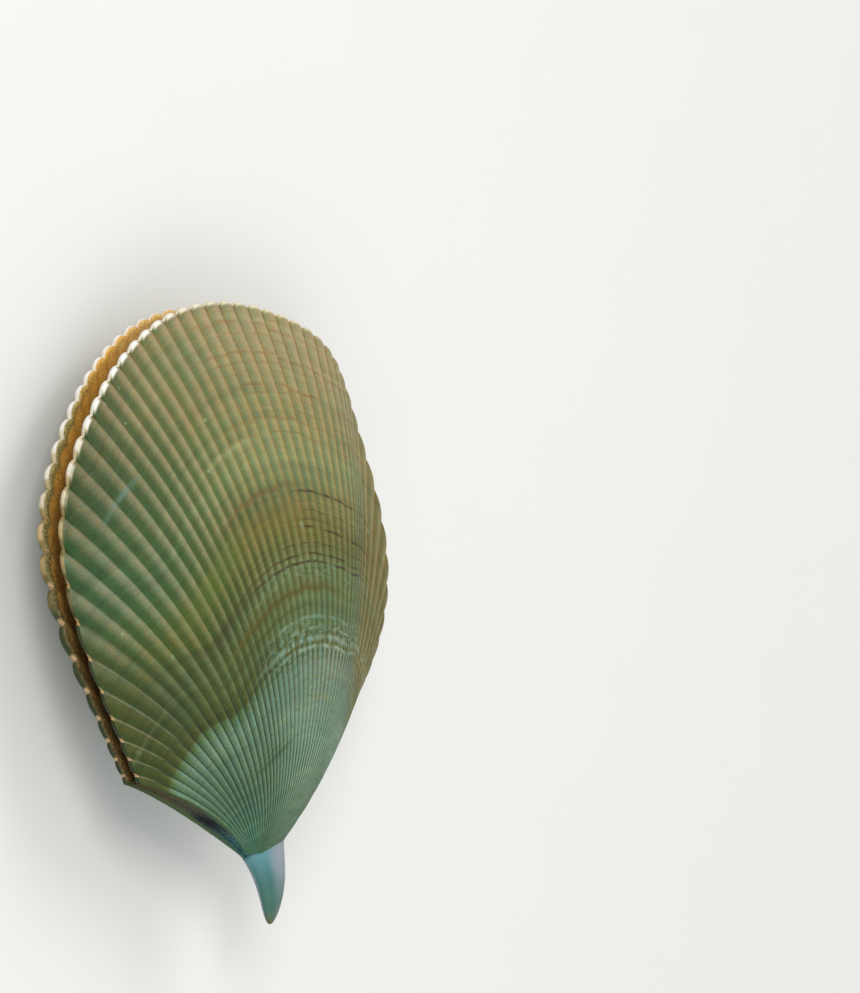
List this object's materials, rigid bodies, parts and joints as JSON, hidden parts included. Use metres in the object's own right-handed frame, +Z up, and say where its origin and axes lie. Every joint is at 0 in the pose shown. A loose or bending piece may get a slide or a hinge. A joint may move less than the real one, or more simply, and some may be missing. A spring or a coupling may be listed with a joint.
{
  "type": "scallop shell",
  "caption": "Domed ribbed scallop shell lying down: thin fan-shaped valves, a little agape, with a scalloped margin, narrow to a throat that holds a short tapering stalk.",
  "frame": {"origin": "centre of the bounding box in X and Y, at the surface that the shell rests on", "axes": "+Y from the stalk towards the crown of the margin, +X across the hinge, +Z up out of the upper valve"},
  "size_m": [0.0806, 0.1048, 0.0338],
  "materials": {
    "upper_valve_shell": "satin, banded olive and aqua",
    "lower_valve_shell": "satin, banded olive, amber inside",
    "stalk_skin": "smooth satin"
  },
  "bodies": {
    "root": {"upper_valve": "upper_valve_shell", "lower_valve": "lower_valve_shell", "stalk": "stalk_skin"}
  },
  "joints": []
}
